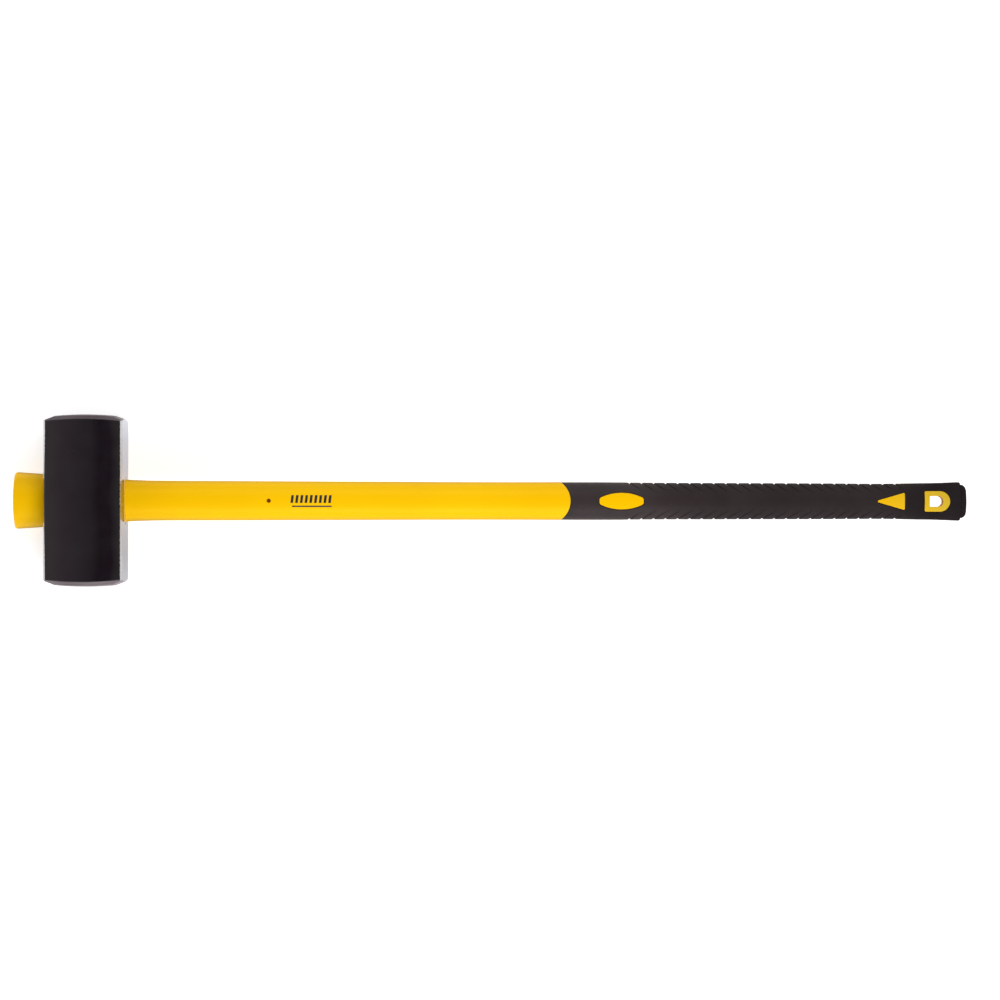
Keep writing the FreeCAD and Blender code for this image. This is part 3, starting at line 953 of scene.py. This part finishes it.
def butt_rows(angles):
    """The flare's rounded end, the step and the rounded boss of the butt."""
    flare_start_x, flare_height = GRIP[-1]
    flare_half = flare_height / 2
    flare_end_x = BUTT_STEP_X - FLARE_EDGE_RADIUS
    rows = [ring(x, flare_half, angles) for x in np.linspace(flare_start_x, flare_end_x, 6)]
    for bend in np.radians(np.linspace(12, 90, 8)):
        rows.append(ring(flare_end_x + FLARE_EDGE_RADIUS * math.sin(bend),
                         flare_half - FLARE_EDGE_RADIUS * (1 - math.cos(bend)), angles))
    boss_x = BUTT_END_X - BUTT_EDGE_RADIUS
    boss_half = BUTT_HALF - BUTT_EDGE_RADIUS
    rows.append(ring(BUTT_STEP_X, BUTT_HALF + 0.15, angles))
    rows.append(ring(BUTT_STEP_X + 0.15, BUTT_HALF, angles))
    rows.append(ring(boss_x, BUTT_HALF, angles))
    for bend in np.radians(np.linspace(7, 90, 13)):
        rows.append(ring(boss_x + BUTT_EDGE_RADIUS * math.sin(bend),
                         boss_half + BUTT_EDGE_RADIUS * math.cos(bend), angles))
    for t in np.linspace(0.9, 0.01, 12):
        rows.append(ring(BUTT_END_X, boss_half * t, angles))
    return rows


def carve_grip(points):
    """Press the tread and the window surrounds into the rows. Says which points stay."""
    x, y, z = points[..., 0], points[..., 1], points[..., 2]
    half = np.maximum(height_through(GRIP, x) / 2, 1.0)
    normal = np.stack([y / half ** 2, z / (half * DEPTH_RATIO) ** 2], axis=-1)
    normal /= np.maximum(np.linalg.norm(normal, axis=-1, keepdims=True), 1e-9)
    on_side = (x > 490) & (x < 819)
    depth = np.where(on_side, tread_depth(x, y), 0)
    keep = np.ones(x.shape, bool)
    for outline in (oval_outline(64), triangle_outline(96),
                    d_outline(HANG_X, HANG_HEIGHT, HANG_CORNER, 96)):
        low, high = outline.min(axis=0) - 6, outline.max(axis=0) + 6
        near = (x > low[0]) & (x < high[0]) & (abs(y) < high[1]) & (abs(z) > 3)
        distance = np.full(x.shape, 99.0)
        distance[near] = outline_distance(x[near], y[near], outline)
        rim = 0.16 * np.exp(-((distance - 1.5) / 0.7) ** 2)
        moat = 0.85 * np.exp(-((distance - 0.15) / 0.42) ** 2)
        depth = depth * smoothstep(0.8, 2.6, distance) + np.where(distance < 6, moat - rim, 0)
        depth = depth + np.where(distance < 0, 0.5 * smoothstep(0.1, 0.6, -distance), 0)
        keep &= distance > -1.0
    y -= normal[..., 0] * depth
    z -= normal[..., 1] * depth
    return keep


def build_grip(rubber):
    """The rubber sleeve, open round the windows and inside."""
    angles = oval_angles(264, seam=False)
    points = np.stack(grip_rows(angles))
    keep = carve_grip(points)
    count = len(angles)
    quads = loop_quads(len(points), count)
    kept = keep.reshape(-1)[quads].all(axis=1)
    faces = [list(q) for q in quads[kept]]
    faces.append([(len(points) - 1) * count + k for k in range(count)])
    grip = add_mesh("grip_sleeve", points, faces, rubber)
    recalculate_outside(grip, drop_loose=True)
    return grip


# ---------------------------------------------------------------- bonding layer and print
def build_resin(resin):
    """The layer in the eye, with a hollow meniscus between plug and chamfer at each end."""
    angles = oval_angles(120, seam=False)
    handle_rim = RESIN_END_X + 0.4
    profile = [(handle_rim + 0.7, 0.0), (handle_rim + 0.1, 0.22), (handle_rim - 0.4, 0.7),
               (handle_rim - 0.6, 1.3), (handle_rim - 0.5, 2.0), (handle_rim - 0.2, 2.55),
               (35.2, 0.78), (-35.2, 0.78), (-36.3, 1.80), (-36.5, 1.1), (-36.9, 0.45),
               (-37.5, 0.0), (-20.0, -0.3), (20.0, -0.3)]
    wobble = 0.10 * np.sin(3 * angles + 0.7) + 0.07 * np.sin(7 * angles + 2.1)
    rows = []
    for x, extra in profile:
        loose = wobble if abs(x) > 36 else 0
        rows.append(ring(x + loose * np.sign(x), plug_half(x) + extra, angles))
    faces = [list(q) for q in loop_quads(len(rows), len(angles), close_rows=True)]
    piece = add_mesh("eye_bonding", np.concatenate(rows), faces, resin)
    recalculate_outside(piece)
    return piece


def build_print(ink):
    """A generic printed mark: a row of plain slanted blocks over a thin line."""
    mark = MeshParts()

    def patch(x0, x1, y0, y1, slant=0.0):
        across = max(2, int((y1 - y0) / 0.5) + 1)
        along = max(2, int((x1 - x0) / 2.0) + 1)
        start = len(mark.points)
        for i in range(across):
            y = y0 + (y1 - y0) * i / (across - 1)
            lean = slant * (y - y0)
            for j in range(along):
                x = x0 + lean + (x1 - x0) * j / (along - 1)
                mark.vertex(x, y, float(surface_z(x, y, SHAFT)) + film_lift)
        for i in range(across - 1):
            for j in range(along - 1):
                a = start + i * along + j
                mark.face([a, a + 1, a + along + 1, a + along])

    film_lift = 0.03
    film_thickness = 0.06
    row_start, row_end = 193.8, 232.6
    blocks = 9
    pitch = (row_end - row_start + 1.2) / blocks
    for k in range(blocks):
        x0 = row_start + k * pitch
        patch(x0, x0 + pitch - 2.0, -2.1, 5.3, 0.12)
    patch(row_start + 1.5, row_end, -5.9, -4.6)
    piece = add_mesh("printed_mark", mark.points, mark.faces, ink)
    thick = piece.modifiers.new("film", "SOLIDIFY")
    thick.thickness = film_thickness * MM
    thick.offset = 0.0
    return piece


# ---------------------------------------------------------------- put the pieces together
steel = bare_steel("bare_steel", SIDE_STEEL, (0.85, 0.87, 0.96))
end_steel = bare_steel("end_steel", END_STEEL, (0.70, 0.65, 0.67))
lacquer = black_lacquer()
plastic = yellow_plastic("yellow_plastic", 0.28, 0.75, 0.0)
window_plastic = yellow_plastic("window_plastic", 0.06, 0.0, 0.55)
rubber = black_rubber()
resin_material = amber_resin()
fibre = glass_fibre()
ink = printing_ink()

head = build_head(steel, lacquer, end_steel)
jacket = build_jacket(plastic)
windows = build_windows(window_plastic)
grip = build_grip(rubber)
resin = build_resin(resin_material)
mark = build_print(ink)

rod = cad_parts["core_rod"]
rod.data.materials.clear()
rod.data.materials.append(fibre)

for piece, slot in [(head, "head_steel"), (jacket, "jacket_plastic"), (grip, "grip_rubber"),
                    (resin, "resin"), (mark, "grip_rubber")] + [(w, "jacket_plastic") for w in windows]:
    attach(piece, "root")
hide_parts("head")
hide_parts("handle_jacket")
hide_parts("grip")
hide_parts("eye_resin")


# ---------------------------------------------------------------- floor, world and lights
def add_floor():
    half = 8.0
    mesh = bpy.data.meshes.new("floor")
    mesh.from_pydata([(-half, -half, 0), (half, -half, 0), (half, half, 0), (-half, half, 0)], [],
                     [(0, 1, 2, 3)])
    floor = bpy.data.objects.new("floor", mesh)
    bpy.context.scene.collection.objects.link(floor)
    n = Nodes("pale_floor")
    n.set(Base_Color=(0.93, 0.93, 0.93, 1.0), Roughness=0.9)
    n.shader.inputs["Specular IOR Level"].default_value = 0.1
    n.shader.inputs["Emission Color"].default_value = (1, 1, 1, 1)
    n.shader.inputs["Emission Strength"].default_value = 0.48
    mesh.materials.append(n.material)
    floor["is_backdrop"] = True


def add_world():
    """Bright near the horizon and darker overhead, as in a room with light walls."""
    world = bpy.data.worlds.new("studio")
    world.use_nodes = True
    bpy.context.scene.world = world
    tree = world.node_tree
    background = tree.nodes["Background"]
    place = tree.nodes.new("ShaderNodeTexCoord")
    split = tree.nodes.new("ShaderNodeSeparateXYZ")
    ramp = tree.nodes.new("ShaderNodeValToRGB")
    tree.links.new(place.outputs["Generated"], split.inputs[0])
    tree.links.new(split.outputs["Z"], ramp.inputs["Fac"])
    tree.links.new(ramp.outputs["Color"], background.inputs["Color"])
    ramp.color_ramp.interpolation = "EASE"
    ramp.color_ramp.elements[0].position = 0.52
    ramp.color_ramp.elements[0].color = (0.89, 0.89, 0.90, 1)
    ramp.color_ramp.elements[1].position = 0.90
    ramp.color_ramp.elements[1].color = (0.13, 0.13, 0.135, 1)
    background.inputs["Strength"].default_value = 1.0


def add_softbox(name, place, target, size, power):
    data = bpy.data.lights.new(name, "AREA")
    data.shape = "RECTANGLE"
    data.size, data.size_y = size
    data.energy = power
    light = bpy.data.objects.new(name, data)
    light.location = place
    way = np.array(target) - np.array(place)
    light.rotation_euler = Vector(way).to_track_quat("-Z", "Y").to_euler()
    bpy.context.scene.collection.objects.link(light)


add_floor()
add_world()
aim = (0.36, 0.0, 0.03)
add_softbox("key", (0.42, -0.95, 0.85), aim, (0.9, 0.35), 9.3)
add_softbox("fill", (0.36, 0.90, 0.90), aim, (0.9, 0.4), 5.2)
bpy.context.scene.view_settings.view_transform = "Standard"
bpy.context.scene.view_settings.look = "None"

visual_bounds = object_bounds()
[[list(map(float, c)) for c in b] for b in (cad_bounds, visual_bounds)]
